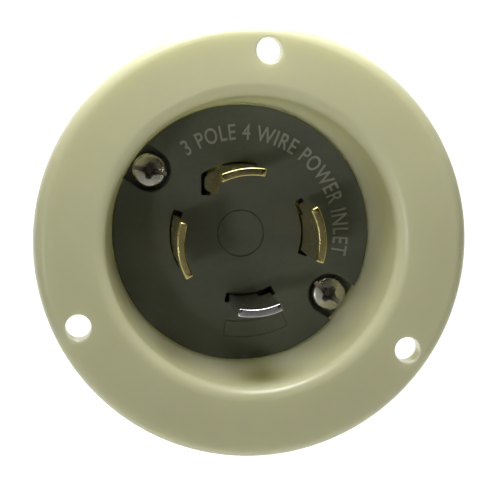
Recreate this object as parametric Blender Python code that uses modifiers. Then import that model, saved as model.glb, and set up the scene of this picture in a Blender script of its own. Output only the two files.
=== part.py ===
"""Flanged power inlet, four-blade locking pattern, 30 A size.

The inlet is drawn as its front view: X to the right, Y up and Z out of the front, with Z = 0 on the
back of the flange, where it meets the panel. An empty stands the drawing up, so that the front faces
world -Y and the panel plane is world Y = 0. Lengths are in metres and angles in degrees, measured
anticlockwise in the front view.
"""

import math

import bmesh
import bpy

MM = 0.001
GAP = 0.3 * MM                      # left between faces that touch on the real object
ROUND = 24                          # sides of a small round hole or shank

# Flange and well of the housing
FLANGE_R = 41.5 * MM
FLANGE_T = 5.0 * MM
FLANGE_EDGE_R = 2.4 * MM
MOUTH_R = 27.9 * MM                 # well radius just below its rounded lip
LIP_R = 2.6 * MM
WELL_R = 27.1 * MM                  # well radius at its floor, so the wall has draft
SKIRT_R = 29.6 * MM
SKIRT_END_R = 29.2 * MM
FLOOR_T = 3.0 * MM
FLOOR_OPENING_R = 17.6 * MM
MOUNT_CIRCLE_R = 36.6 * MM
MOUNT_HOLE_R = 2.45 * MM
MOUNT_ANGLES = (90, 210, 330)

# Blade insert, the grey face at the bottom of the well
FACE_Z = FLANGE_T - 24.0 * MM
DISC_R = 26.5 * MM
KEY_R = 26.8 * MM                   # the disc is this wide over one keyed stretch
KEY_FROM, KEY_TO = -18, 39
DISC_T = 5.7 * MM
BOSS_R = FLOOR_OPENING_R - GAP
FLOOR_Z = FACE_Z - DISC_T - GAP     # top of the housing's floor
FLOOR_BACK_Z = FLOOR_Z - FLOOR_T

# Assembly screws, through the whole stack
SCREW_CIRCLE_R = 22.6 * MM
SCREW_ANGLES = {"upper": 150, "lower": 330}
SCREW_SHANK_R = 2.08 * MM
SCREW_HOLE_R = 2.45 * MM
SCREW_HEAD_R = 3.55 * MM
SCREW_HEAD_H = 2.4 * MM
NOTCH_R = 4.3 * MM
NOTCH_DEPTH = 3.2 * MM
NUT_FLATS = 7.0 * MM
NUT_T = 3.2 * MM

# Blades, formed from one thickness of strip
BLADE_T = 1.6 * MM
BLADE_R = 13.6 * MM                 # middle of the strip
TIP_Z = FLANGE_T - 1.5 * MM
LOCK_TOP_Z = FACE_Z + 6.0 * MM      # below this level the blade is cut back to its root
WIDE_BLADE = {"start": -17.9, "root": 16.6, "tip": 27.8}
NARROW_BLADE = {"start": -12.5, "root": 13.5, "tip": 23.9}
LEG_U = 6.85 * MM                   # middle of the ground blade's leg, from the terminal's own centre line
LEG_BEND_R = 1.1 * MM               # middle of the bend into the leg
LEG_END_V = 9.5 * MM
LEG_STEP_U = 5.4 * MM               # beyond here the bend and the leg stand lower than the tip
LEG_DROP = 2.6 * MM
SLOT_CLEARANCE = 0.5 * MM
SLOT_EXTRA = {"start": -3.2, "tip": 0.6}
NARROW_SLOT_EXTRA = {"start": -2.0, "tip": 4.6}

# Terminals: each blade's tail steps out to a flat pad under a radial screw
TERMINALS = {
    "ground": {"angle": 96, "blade": NARROW_BLADE, "leg": True},
    "hot_x": {"angle": 186, "blade": WIDE_BLADE, "leg": False},
    "neutral": {"angle": 276, "blade": NARROW_BLADE, "leg": False},
    "hot_y": {"angle": 6, "blade": WIDE_BLADE, "leg": False},
}
PAD_V = 19.8 * MM                   # middle of the pad, out from the inlet's axis
PAD_HALF_W = 6.0 * MM
PAD_END_Z = -45.0 * MM
STEP_HALF_W = 6.0 * MM
STEP_INNER_V = 11.5 * MM
CLAMP_SCREW_U = 2.5 * MM            # the screw stands to one side of the pad, the wire to the other
CLAMP_SCREW_Z = -38.0 * MM
CLAMP_OUTER_V = 14.0 * MM           # outer face of the clamp plate when it is open
CLAMP_T = 2.0 * MM
CLAMP_HALF_L = 5.0 * MM
CLAMP_LIP_H = 1.2 * MM
CLAMP_LIP_T = 1.0 * MM
CLAMP_BORE_R = 2.45 * MM
TERMINAL_HEAD_R = 3.5 * MM
TERMINAL_HEAD_H = 2.6 * MM
TERMINAL_SHANK_END_V = 11.2 * MM
DRIVE_SLOT_W = 1.1 * MM
DRIVE_SLOT_DEPTH = 1.2 * MM

# Terminal block and rear cover
BODY_R = 28.0 * MM
BLOCK_FRONT_Z = FLOOR_BACK_Z - GAP
BLOCK_BACK_Z = -47.7 * MM
POCKET_HALF_W = 6.4 * MM            # each pocket is open to the side, where the screwdriver comes in
POCKET_INNER_V = 10.4 * MM
COVER_FRONT_Z = BLOCK_BACK_Z - GAP
COVER_BACK_Z = -53.0 * MM
WIRE_U = -2.3 * MM
WIRE_V = 16.5 * MM
WIRE_HOLE_R = 3.2 * MM

MATERIALS = {
    "natural_nylon": ((0.80, 0.79, 0.62), 0.35, 0.0),
    "grey_nylon": ((0.19, 0.20, 0.17), 0.55, 0.0),
    "black_nylon": ((0.02, 0.02, 0.02), 0.5, 0.0),
    "brass": ((0.78, 0.62, 0.26), 0.28, 1.0),
    "nickel_plate": ((0.66, 0.65, 0.61), 0.25, 1.0),
    "zinc_plated_steel": ((0.62, 0.60, 0.55), 0.30, 1.0),
    "green_plated_steel": ((0.10, 0.36, 0.17), 0.32, 1.0),
}


# ---------------------------------------------------------------- scene and materials

def clear_scene():
    """Removes every object, so that a second run gives the same result."""
    for obj in list(bpy.data.objects):
        bpy.data.objects.remove(obj, do_unlink=True)


def make_collection(name):
    """A collection linked to the scene."""
    collection = bpy.data.collections.new(name)
    bpy.context.scene.collection.children.link(collection)
    return collection


def material(name):
    """The named material, made on first use as a Principled surface."""
    if name in bpy.data.materials:
        return bpy.data.materials[name]
    colour, roughness, metallic = MATERIALS[name]
    made = bpy.data.materials.new(name)
    made.use_nodes = True
    made.diffuse_color = (*colour, 1.0)
    shader = made.node_tree.nodes["Principled BSDF"]
    shader.inputs["Base Color"].default_value = (*colour, 1.0)
    shader.inputs["Roughness"].default_value = roughness
    shader.inputs["Metallic"].default_value = metallic
    return made


clear_scene()
PARTS = make_collection("flanged_inlet")
CUTTERS = make_collection("cutters")
UPRIGHT = bpy.data.objects.new("front_view_axes", None)
PARTS.objects.link(UPRIGHT)
UPRIGHT.rotation_euler = (math.radians(90), 0, 0)


def file_in(obj, collection):
    """Moves obj into one collection and hangs it on the front view's axes, where it lies."""
    for other in list(obj.users_collection):
        other.objects.unlink(obj)
    collection.objects.link(obj)
    obj.parent = UPRIGHT
    return obj


def as_part(obj, material_name):
    """Files obj as a finished part with its material."""
    file_in(obj, PARTS)
    obj.data.materials.clear()
    obj.data.materials.append(material(material_name))
    obj.data.shade_smooth()
    obj.data.set_sharp_from_angle(angle=math.radians(35))
    return obj


def as_helper(obj):
    """Files obj as a cutter or a piece to be joined, which is not a part by itself."""
    file_in(obj, CUTTERS)
    obj.hide_render = True
    obj.display_type = "WIRE"
    return obj


def boolean(target, operation, helper):
    """Adds one exact Boolean of helper to target."""
    modifier = target.modifiers.new(helper.name, "BOOLEAN")
    modifier.operation = operation
    modifier.solver = "EXACT"
    modifier.object = as_helper(helper)
    return target


def cut(target, helper):
    """Cuts helper out of target."""
    return boolean(target, "DIFFERENCE", helper)


def add(target, helper):
    """Joins helper to target."""
    return boolean(target, "UNION", helper)


# ---------------------------------------------------------------- basic shapes

def polar(radius, angle):
    """The point at that radius and angle in the front view."""
    return radius * math.cos(math.radians(angle)), radius * math.sin(math.radians(angle))


def arc(centre, radius, start, end, steps):
    """Points along an arc from start to end, both ends included."""
    return [
        (
            centre[0] + radius * math.cos(math.radians(start + (end - start) * i / steps)),
            centre[1] + radius * math.sin(math.radians(start + (end - start) * i / steps)),
        )
        for i in range(steps + 1)
    ]


def turned(name, profile, steps, closed):
    """A solid of revolution about Z, from (radius, height) points that run down the outer side."""
    mesh = bpy.data.meshes.new(name)
    edges = [(i, i + 1) for i in range(len(profile) - 1)]
    if closed:
        edges.append((len(profile) - 1, 0))
    mesh.from_pydata([(r, 0, z) for r, z in profile], edges, [])
    obj = bpy.data.objects.new(name, mesh)
    PARTS.objects.link(obj)
    screw = obj.modifiers.new("turn", "SCREW")
    screw.steps = steps
    screw.render_steps = steps
    screw.use_merge_vertices = True
    screw.merge_threshold = 0.00001
    screw.use_smooth_shade = True
    return obj


def cylinder(name, radius, low, high, centre=(0, 0), sides=ROUND):
    """An upright cylinder between two heights."""
    bpy.ops.mesh.primitive_cylinder_add(
        vertices=sides, radius=radius, depth=high - low, location=(*centre, (low + high) / 2)
    )
    obj = bpy.context.active_object
    obj.name = name
    return obj


def block(name, low, high):
    """A box between two corners, with its size in its mesh."""
    bpy.ops.mesh.primitive_cube_add(size=1)
    obj = bpy.context.active_object
    obj.name = name
    for vertex in obj.data.vertices:
        vertex.co = [
            (a + b) / 2 + side * (b - a) for side, a, b in zip(vertex.co, low, high)
        ]
    return obj


def extruded(name, outline, low, high):
    """A flat outline drawn as a filled 2D curve and extruded between two heights, made a mesh."""
    curve = bpy.data.curves.new(name, "CURVE")
    curve.dimensions = "2D"
    curve.fill_mode = "BOTH"
    curve.extrude = (high - low) / 2
    spline = curve.splines.new("POLY")
    spline.points.add(len(outline) - 1)
    for point, (x, y) in zip(spline.points, outline):
        point.co = (x, y, 0, 1)
    spline.use_cyclic_u = True
    drawn = bpy.data.objects.new(name + "_curve", curve)
    PARTS.objects.link(drawn)
    graph = bpy.context.evaluated_depsgraph_get()
    mesh = bpy.data.meshes.new_from_object(drawn.evaluated_get(graph))
    bpy.data.objects.remove(drawn)
    shape = bmesh.new()
    shape.from_mesh(mesh)
    bmesh.ops.remove_doubles(shape, verts=shape.verts, dist=0.00001)
    bmesh.ops.recalc_face_normals(shape, faces=shape.faces)
    bmesh.ops.translate(shape, verts=shape.verts, vec=(0, 0, (low + high) / 2))
    shape.to_mesh(mesh)
    shape.free()
    obj = bpy.data.objects.new(name, mesh)
    PARTS.objects.link(obj)
    return obj


def at_terminal(obj, angle):
    """Turns a piece drawn with its terminal straight up to where that terminal is.

    Such a piece has V, out from the axis, along Y, and U, the anticlockwise side, along -X.
    """
    obj.rotation_euler = (0, 0, math.radians(angle - 90))
    return obj


def terminal_box(name, u, v, z, angle):
    """A box given by its U, V and Z ranges in a terminal's own axes."""
    return at_terminal(block(name, (-u[1], v[0], z[0]), (-u[0], v[1], z[1])), angle)


def radial_cylinder(name, radius, u, z, v, angle, sides=ROUND):
    """A cylinder that points out from the axis at U and Z, between two values of V."""
    obj = cylinder(name, radius, v[0], v[1], sides=sides)
    for vertex in obj.data.vertices:
        x, y, height = vertex.co
        vertex.co = (x - u, height + obj.location.z, z - y)
    obj.location = (0, 0, 0)
    return at_terminal(obj, angle)


# ---------------------------------------------------------------- housing

def flange_housing():
    """The moulded flange, its well and the well's floor ring, turned in one piece."""
    edge_centre = (FLANGE_R - FLANGE_EDGE_R, FLANGE_T - FLANGE_EDGE_R)
    lip_centre = (MOUTH_R + LIP_R, FLANGE_T - LIP_R)
    chamfer = 0.5 * MM
    profile = arc(edge_centre, FLANGE_EDGE_R, 90, 0, 6)
    profile += [(FLANGE_R, chamfer), (FLANGE_R - chamfer, 0)]
    profile += [(SKIRT_R, 0), (SKIRT_END_R, FLOOR_BACK_Z + chamfer), (SKIRT_END_R - chamfer, FLOOR_BACK_Z)]
    profile += [(FLOOR_OPENING_R, FLOOR_BACK_Z), (FLOOR_OPENING_R, FLOOR_Z), (WELL_R, FLOOR_Z)]
    profile += arc(lip_centre, LIP_R, 180, 90, 6)
    housing = turned("flange_housing", profile, 80, closed=True)
    for angle in MOUNT_ANGLES:
        hole = cylinder(f"mount_hole_{angle}", MOUNT_HOLE_R, -MM, FLANGE_T + MM, polar(MOUNT_CIRCLE_R, angle))
        cut(housing, hole)
    for name, angle in SCREW_ANGLES.items():
        hole = cylinder(
            f"floor_hole_{name}", SCREW_HOLE_R, FLOOR_BACK_Z - MM, FLOOR_Z + MM, polar(SCREW_CIRCLE_R, angle)
        )
        cut(housing, hole)
    return as_part(housing, "natural_nylon")


# ---------------------------------------------------------------- blade insert

def disc_outline():
    """The rim of the insert: round, and a little wider over its keyed stretch."""
    keyed = arc((0, 0), KEY_R, KEY_FROM, KEY_TO, 16)
    plain = arc((0, 0), DISC_R, KEY_TO, KEY_FROM + 360, 72)
    return keyed + plain


def sector(inner, outer, start, end):
    """The outline of a ring's sector, with V up: start and end are anticlockwise from V."""
    return arc((0, 0), outer, 90 + start, 90 + end, 12) + arc((0, 0), inner, 90 + end, 90 + start, 12)


def blade_slot(name, terminal, low, high):
    """Cutters for the slot that a blade is pushed through, as wide as the blade's tip."""
    blade = terminal["blade"]
    extra = SLOT_EXTRA if blade is WIDE_BLADE else NARROW_SLOT_EXTRA
    inner = BLADE_R - BLADE_T / 2 - SLOT_CLEARANCE * 0.8
    outer = BLADE_R + BLADE_T / 2 + SLOT_CLEARANCE
    outline = sector(inner, outer, blade["start"] + extra["start"], blade["tip"] + extra["tip"])
    cutters = [at_terminal(extruded(name, outline, low, high), terminal["angle"])]
    if terminal["leg"]:
        reach = 1.5 * MM
        half = BLADE_T / 2 + SLOT_CLEARANCE
        u = (LEG_U - half, LEG_U + half)
        v = (LEG_END_V - reach, BLADE_R - MM)
        cutters.append(terminal_box(name + "_leg", u, v, (low, high), terminal["angle"]))
    return cutters


def blade_insert():
    """The grey disc that carries the blades, with its boss, blade slots and screw notches."""
    low = FACE_Z - DISC_T
    insert = extruded("blade_insert", disc_outline(), low, FACE_Z)
    add(insert, cylinder("insert_boss", BOSS_R, FLOOR_BACK_Z, low + MM, sides=64))
    for name, terminal in TERMINALS.items():
        for cutter in blade_slot(f"{name}_slot", terminal, FLOOR_BACK_Z - MM, FACE_Z + MM):
            cut(insert, cutter)
    for name, angle in SCREW_ANGLES.items():
        turn = angle - 90
        mouth = [(-NOTCH_R, DISC_R + 3 * MM - SCREW_CIRCLE_R), *arc((0, 0), NOTCH_R, 180, 360, 14)]
        mouth.append((NOTCH_R, DISC_R + 3 * MM - SCREW_CIRCLE_R))
        notch = extruded(f"notch_{name}", mouth, FACE_Z - NOTCH_DEPTH, FACE_Z + MM)
        notch.location = (*polar(SCREW_CIRCLE_R, angle), 0)
        notch.rotation_euler = (0, 0, math.radians(turn))
        cut(insert, notch)
        hole = cylinder(
            f"insert_hole_{name}", SCREW_HOLE_R, low - MM, FACE_Z - NOTCH_DEPTH + MM,
            polar(SCREW_CIRCLE_R, angle),
        )
        cut(insert, hole)
    return as_part(insert, "grey_nylon")


# ---------------------------------------------------------------- blades

def strip_outline(blade, leg):
    """The blade seen end on: an arc of strip and, on the ground blade, a bend and a leg inwards.

    The middle line is a list of points with the direction across the strip at each.
    """
    end = blade["tip"]
    if leg:
        # The bend's centre lies on the radius where the arc ends, and its far side is the leg.
        end = math.degrees(math.asin((LEG_U - LEG_BEND_R) / (BLADE_R - LEG_BEND_R)))
    middle = []
    for i in range(13):
        angle = math.radians(90 + blade["start"] + (end - blade["start"]) * i / 12)
        across = (math.cos(angle), math.sin(angle))
        middle.append(((BLADE_R * across[0], BLADE_R * across[1]), across))
    if leg:
        centre = polar(BLADE_R - LEG_BEND_R, 90 + end)
        for i in range(1, 7):
            angle = math.radians(90 + end + (90 - end) * i / 6)
            across = (math.cos(angle), math.sin(angle))
            point = (centre[0] + LEG_BEND_R * across[0], centre[1] + LEG_BEND_R * across[1])
            middle.append((point, across))
        middle.append(((-LEG_U, LEG_END_V), (-1, 0)))
    half = BLADE_T / 2
    outer = [(p[0] + half * a[0], p[1] + half * a[1]) for p, a in middle]
    inner = [(p[0] - half * a[0], p[1] - half * a[1]) for p, a in reversed(middle)]
    return outer + inner


def blade(name, terminal):
    """One blade with its locking notch, the step behind the insert and the terminal pad."""
    angle = terminal["angle"]
    widths = terminal["blade"]
    step_front = BLOCK_FRONT_Z
    step_back = step_front - BLADE_T
    outline = strip_outline(widths, terminal["leg"])
    made = at_terminal(extruded(f"{name}_blade", outline, step_back + 0.4 * MM, TIP_Z), angle)
    notch = sector(5 * MM, BLADE_R + 3 * MM, widths["root"], widths["root"] + 40)
    cut(made, at_terminal(extruded(f"{name}_lock_notch", notch, step_back - MM, LOCK_TOP_Z), angle))
    if terminal["leg"]:
        u = (LEG_STEP_U, LEG_U + BLADE_T)
        v = (LEG_END_V - MM, BLADE_R + BLADE_T)
        cut(made, terminal_box(f"{name}_leg_step", u, v, (TIP_Z - LEG_DROP, TIP_Z + MM), angle))
    pad_v = (PAD_V - BLADE_T / 2, PAD_V + BLADE_T / 2)
    step = terminal_box(
        f"{name}_step", (-STEP_HALF_W, STEP_HALF_W), (STEP_INNER_V, pad_v[1]), (step_back, step_front), angle
    )
    add(made, step)
    pad = terminal_box(
        f"{name}_pad", (-PAD_HALF_W, PAD_HALF_W), pad_v, (PAD_END_Z, step_front - 0.4 * MM), angle
    )
    add(made, pad)
    hole = radial_cylinder(
        f"{name}_pad_hole", SCREW_HOLE_R, CLAMP_SCREW_U, CLAMP_SCREW_Z,
        (pad_v[0] - MM, pad_v[1] + MM), angle,
    )
    cut(made, hole)
    return as_part(made, "nickel_plate" if name == "neutral" else "brass")


# ---------------------------------------------------------------- terminal screws and clamp plates

def drive_slot(name, head_r, top, slot_turn=0.0):
    """A cutter for a screwdriver slot across a head whose top is at that height, about Z."""
    half = (head_r * 1.2, DRIVE_SLOT_W / 2)
    slot = block(name, (-half[0], -half[1], top - DRIVE_SLOT_DEPTH), (half[0], half[1], top + MM))
    slot.rotation_euler = (0, 0, math.radians(slot_turn))
    return slot


def screw_profile(head_r, head_h, shank_r, length):
    """Half outline of a pan head screw with its head's underside at height 0, top down."""
    corner = head_h * 0.45
    crown = [(0, head_h), (head_r * 0.45, head_h * 0.97)]
    rounded = arc((head_r - corner, head_h - corner - 0.1 * MM), corner, 75, 0, 4)
    point = 0.5 * MM
    shank = [(head_r, 0), (shank_r, 0), (shank_r, point - length), (shank_r - point, -length), (0, -length)]
    return crown + rounded + shank


def terminal_screw(name, terminal):
    """The radial pan head screw of one terminal. Its own Z axis is the screw's axis, head outwards."""
    seat_v = PAD_V + BLADE_T / 2 + GAP
    profile = screw_profile(TERMINAL_HEAD_R, TERMINAL_HEAD_H, SCREW_SHANK_R, seat_v - TERMINAL_SHANK_END_V)
    screw = turned(f"{name}_terminal_screw", profile, ROUND, closed=False)
    slot = drive_slot(f"{name}_terminal_slot", TERMINAL_HEAD_R, TERMINAL_HEAD_H)
    for obj in (screw, slot):
        outwards = math.radians(terminal["angle"])
        x = seat_v * math.cos(outwards) - CLAMP_SCREW_U * math.sin(outwards)
        y = seat_v * math.sin(outwards) + CLAMP_SCREW_U * math.cos(outwards)
        obj.location = (x, y, CLAMP_SCREW_Z)
        obj.rotation_euler = (0, math.radians(90), outwards)
    cut(screw, slot)
    finishes = {"ground": "green_plated_steel", "neutral": "nickel_plate"}
    return as_part(screw, finishes.get(name, "brass"))


def clamp_plate(name, terminal):
    """The plate that the terminal screw draws outwards onto the wire, with a lip at the wire's side."""
    angle = terminal["angle"]
    z = (CLAMP_SCREW_Z - CLAMP_HALF_L, CLAMP_SCREW_Z + CLAMP_HALF_L)
    v = (CLAMP_OUTER_V - CLAMP_T, CLAMP_OUTER_V)
    plate = terminal_box(f"{name}_clamp_plate", (-PAD_HALF_W, PAD_HALF_W), v, z, angle)
    lip = terminal_box(
        f"{name}_clamp_lip", (-PAD_HALF_W, CLAMP_LIP_T - PAD_HALF_W),
        (v[0] + 0.2 * MM, CLAMP_OUTER_V + CLAMP_LIP_H), (z[0] + 0.4 * MM, z[1] - 0.4 * MM), angle,
    )
    for vertex in lip.data.vertices:
        vertex.co.x -= 0.1 * MM
    add(plate, lip)
    bore = radial_cylinder(
        f"{name}_clamp_bore", CLAMP_BORE_R, CLAMP_SCREW_U, CLAMP_SCREW_Z, (v[0] - MM, v[1] + MM), angle
    )
    cut(plate, bore)
    return as_part(plate, "nickel_plate" if name == "neutral" else "brass")


# ---------------------------------------------------------------- terminal block and rear cover

def terminal_block():
    """The body behind the housing, with a pocket for each terminal that is open to the side."""
    body = cylinder("terminal_block", BODY_R, BLOCK_BACK_Z, BLOCK_FRONT_Z, sides=64)
    for name, terminal in TERMINALS.items():
        angle = terminal["angle"]
        pocket = terminal_box(
            f"{name}_pocket", (-POCKET_HALF_W, POCKET_HALF_W), (POCKET_INNER_V, BODY_R + MM),
            (BLOCK_BACK_Z - MM, BLOCK_FRONT_Z + MM), angle,
        )
        cut(body, pocket)
    for name, angle in SCREW_ANGLES.items():
        hole = cylinder(
            f"block_hole_{name}", SCREW_HOLE_R, BLOCK_BACK_Z - MM, BLOCK_FRONT_Z + MM,
            polar(SCREW_CIRCLE_R, angle),
        )
        cut(body, hole)
    return as_part(body, "black_nylon")


def wire_place(terminal):
    """Where a terminal's wire runs, in the front view."""
    angle = math.radians(terminal["angle"])
    x = WIRE_V * math.cos(angle) - WIRE_U * math.sin(angle)
    y = WIRE_V * math.sin(angle) + WIRE_U * math.cos(angle)
    return x, y


def rear_cover():
    """The back plate with a wire hole for each terminal."""
    chamfer = 1.0 * MM
    profile = [
        (0, COVER_FRONT_Z), (BODY_R, COVER_FRONT_Z), (BODY_R, COVER_BACK_Z + chamfer),
        (BODY_R - chamfer, COVER_BACK_Z), (0, COVER_BACK_Z),
    ]
    cover = turned("rear_cover", profile, 64, closed=False)
    for name, terminal in TERMINALS.items():
        place = wire_place(terminal)
        hole = cylinder(
            f"{name}_wire_hole", WIRE_HOLE_R, COVER_BACK_Z - MM, COVER_FRONT_Z + MM, place, sides=16
        )
        cut(cover, hole)
    for name, angle in SCREW_ANGLES.items():
        place = polar(SCREW_CIRCLE_R, angle)
        cut(cover, cylinder(f"cover_hole_{name}", SCREW_HOLE_R, COVER_BACK_Z - MM, COVER_FRONT_Z + MM, place))
    return as_part(cover, "black_nylon")


# ---------------------------------------------------------------- assembly screws and nuts

def assembly_screw(name, angle, slot_turn):
    """One of the two long screws that hold the stack together, driven from the front."""
    seat = FACE_Z - NOTCH_DEPTH + GAP
    length = seat - (COVER_BACK_Z - GAP - NUT_T)
    profile = screw_profile(SCREW_HEAD_R, SCREW_HEAD_H, SCREW_SHANK_R, length)
    screw = turned(f"assembly_screw_{name}", profile, ROUND, closed=False)
    slot = drive_slot(f"assembly_slot_{name}", SCREW_HEAD_R, SCREW_HEAD_H, slot_turn)
    for obj in (screw, slot):
        obj.location = (*polar(SCREW_CIRCLE_R, angle), seat)
    cut(screw, slot)
    return as_part(screw, "zinc_plated_steel")


def assembly_nut(name, angle):
    """The hexagon nut on the end of one assembly screw, with a flat facing out."""
    place = polar(SCREW_CIRCLE_R, angle)
    top = COVER_BACK_Z - GAP
    corner_r = NUT_FLATS / 2 / math.cos(math.radians(30))
    nut = cylinder(f"assembly_nut_{name}", corner_r, top - NUT_T, top, place, sides=6)
    nut.rotation_euler = (0, 0, math.radians(angle))
    bore = cylinder(f"nut_bore_{name}", SCREW_HOLE_R, top - NUT_T - MM, top + MM, place)
    cut(nut, bore)
    return as_part(nut, "zinc_plated_steel")


SLOT_TURNS = {"upper": -8, "lower": -35}

flange_housing()
blade_insert()
for terminal_name, terminal_facts in TERMINALS.items():
    blade(terminal_name, terminal_facts)
    terminal_screw(terminal_name, terminal_facts)
    clamp_plate(terminal_name, terminal_facts)
terminal_block()
rear_cover()
for screw_name, screw_angle in SCREW_ANGLES.items():
    assembly_screw(screw_name, screw_angle, SLOT_TURNS[screw_name])
    assembly_nut(screw_name, screw_angle)
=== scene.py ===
"""Looks of a flanged power inlet with four curved locking blades.

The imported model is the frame: it gives the heights of the stack and its main radii, and finer sizes are
named below. Shapes are worked out in the inlet's front view (x to the right, y up, z out of the front) and
turned upright by `upright` at the end.
"""

import logging
import math
from dataclasses import dataclass
from enum import Enum
from typing import Callable, Iterable, Optional, Sequence, Union

import bmesh
import bpy
import numpy as np
from mathutils import Matrix, Vector


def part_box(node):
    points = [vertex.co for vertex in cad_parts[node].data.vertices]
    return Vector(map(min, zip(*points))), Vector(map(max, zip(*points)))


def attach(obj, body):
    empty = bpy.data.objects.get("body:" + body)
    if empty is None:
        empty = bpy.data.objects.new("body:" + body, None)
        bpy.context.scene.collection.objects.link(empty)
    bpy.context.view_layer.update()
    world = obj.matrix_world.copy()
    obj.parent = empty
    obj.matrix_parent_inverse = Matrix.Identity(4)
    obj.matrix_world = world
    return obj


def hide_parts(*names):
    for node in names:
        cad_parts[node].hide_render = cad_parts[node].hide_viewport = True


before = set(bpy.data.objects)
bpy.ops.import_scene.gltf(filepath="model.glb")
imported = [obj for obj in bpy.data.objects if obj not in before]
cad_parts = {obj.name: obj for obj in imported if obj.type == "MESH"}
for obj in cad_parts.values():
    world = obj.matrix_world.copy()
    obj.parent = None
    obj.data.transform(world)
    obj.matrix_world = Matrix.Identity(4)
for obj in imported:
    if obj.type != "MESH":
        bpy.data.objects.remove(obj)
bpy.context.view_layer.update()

Array = np.ndarray
Profile = Sequence[tuple[float, float]]
MM = 0.001
LOG = logging.getLogger("inlet")
MAIN_BODY = "inlet"
# point attribute: depth in a screw's drive recess, which the metal paints darker as shade and oily dirt
RECESS_GRIME_AND_SHADE = "recess"
SCREW_CIRCLE_R = 22.6 * MM
SCREW_ANGLES = (150.0, 330.0)
SCREW_HOLE_R = 2.45 * MM
SCREW_NOTCH_DEPTH = 3.2 * MM
TERMINAL_SCREW_U = 2.5 * MM
TERMINAL_SCREW_Z = -38.0 * MM


# ---------------------------------------------------------------- shader sheets

class Tie:
    """A shader socket on which sums can be written."""

    def __init__(self, sheet: "Sheet", socket: bpy.types.NodeSocket) -> None:
        """Keeps the socket and the sheet it belongs to."""
        self.sheet = sheet
        self.socket = socket

    def __add__(self, other: "Value") -> "Tie":
        """Sum."""
        return self.sheet.math("ADD", self, other)

    __radd__ = __add__

    def __sub__(self, other: "Value") -> "Tie":
        """Difference."""
        return self.sheet.math("SUBTRACT", self, other)

    def __rsub__(self, other: "Value") -> "Tie":
        """Difference from a number."""
        return self.sheet.math("SUBTRACT", other, self)

    def __mul__(self, other: "Value") -> "Tie":
        """Product."""
        return self.sheet.math("MULTIPLY", self, other)

    __rmul__ = __mul__

    def __pow__(self, other: "Value") -> "Tie":
        """Power."""
        return self.sheet.math("POWER", self, other)


Value = Union[float, Tie]
Colour = tuple[float, float, float]


class Sheet:
    """The node tree of one material, with a Principled surface already in it."""

    def __init__(self, name: str) -> None:
        """Makes the material.

        Args:
            name: the material's name.
        """
        self.material = bpy.data.materials.new(name)
        self.material.use_nodes = True
        self.tree = self.material.node_tree
        self.surface = self.tree.nodes["Principled BSDF"]

    def add(self, kind: str, settings: dict, inputs: dict, output: Union[int, str] = 0) -> Tie:
        """Adds one node.

        Args:
            kind: the node's type, without the ShaderNode in front.
            settings: attributes set before the sockets.
            inputs: socket names or numbers, each with a value or a tie.
            output: the socket to hand back.

        Returns:
            The chosen output as a tie.
        """
        node = self.tree.nodes.new("ShaderNode" + kind)
        for key, value in settings.items():
            setattr(node, key, value)
        for key, value in inputs.items():
            if isinstance(value, Tie):
                self.tree.links.new(value.socket, node.inputs[key])
            else:
                node.inputs[key].default_value = value
        return Tie(self, node.outputs[output])

    def math(self, operation: str, a: Value, b: Value = 0.0, clamp: bool = False) -> Tie:
        """One Math node on two values."""
        return self.add("Math", {"operation": operation, "use_clamp": clamp}, {0: a, 1: b})

    def place(self) -> Tie:
        """Object coordinates, in metres."""
        return self.add("TexCoord", {}, {}, "Object")

    def axes(self, vector: Tie) -> tuple[Tie, Tie, Tie]:
        """The three parts of a vector."""
        first = self.add("SeparateXYZ", {}, {0: vector}, 0)
        node = first.socket.node
        return first, Tie(self, node.outputs[1]), Tie(self, node.outputs[2])

    def stretched(self, scale: tuple[float, float, float], turn: float = 0.0) -> Tie:
        """Object coordinates scaled along each axis, after a turn about the inlet's axis.

        Args:
            scale: the factor on each axis.
            turn: the turn in radians.

        Returns:
            The mapped vector.
        """
        settings = {"vector_type": "POINT"}
        inputs = {"Vector": self.place(), "Rotation": (0.0, turn, 0.0), "Scale": scale}
        return self.add("Mapping", settings, inputs)

    def noise(self, scale: float, detail: float = 3.0, rough: float = 0.5,
              vector: Optional[Tie] = None) -> Tie:
        """Noise between 0 and 1 whose scale is in cells per metre."""
        inputs = {"Vector": vector or self.place(), "Scale": scale, "Detail": detail, "Roughness": rough}
        return self.add("TexNoise", {}, inputs, 0)

    def band(self, value: Tie, low: float, high: float, start: float = 0.0, end: float = 1.0) -> Tie:
        """A value mapped smoothly from one range to another, and held at its ends."""
        settings = {"interpolation_type": "SMOOTHSTEP"}
        inputs = {0: value, 1: low, 2: high, 3: start, 4: end}
        return self.add("MapRange", settings, inputs)

    def mix(self, factor: Value, a: Union[Colour, Tie], b: Union[Colour, Tie]) -> Tie:
        """A colour between a and b."""
        sides = [(*side, 1.0) if isinstance(side, tuple) else side for side in (a, b)]
        settings = {"data_type": "RGBA"}
        return self.add("Mix", settings, {0: factor, 6: sides[0], 7: sides[1]}, 2)

    def bump(self, height: Tie, depth: float, strength: float = 1.0) -> None:
        """Feeds the surface's normal from a height that is worth `depth` metres at 1."""
        normal = self.add("Bump", {}, {"Height": height, "Distance": depth, "Strength": strength}, 0)
        self.feed("Normal", normal)

    def feed(self, name: str, value: Union[Tie, float, tuple]) -> None:
        """Sets or links one socket of the surface."""
        if isinstance(value, Tie):
            self.tree.links.new(value.socket, self.surface.inputs[name])
        else:
            self.surface.inputs[name].default_value = value


# ---------------------------------------------------------------- finishes

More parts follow.
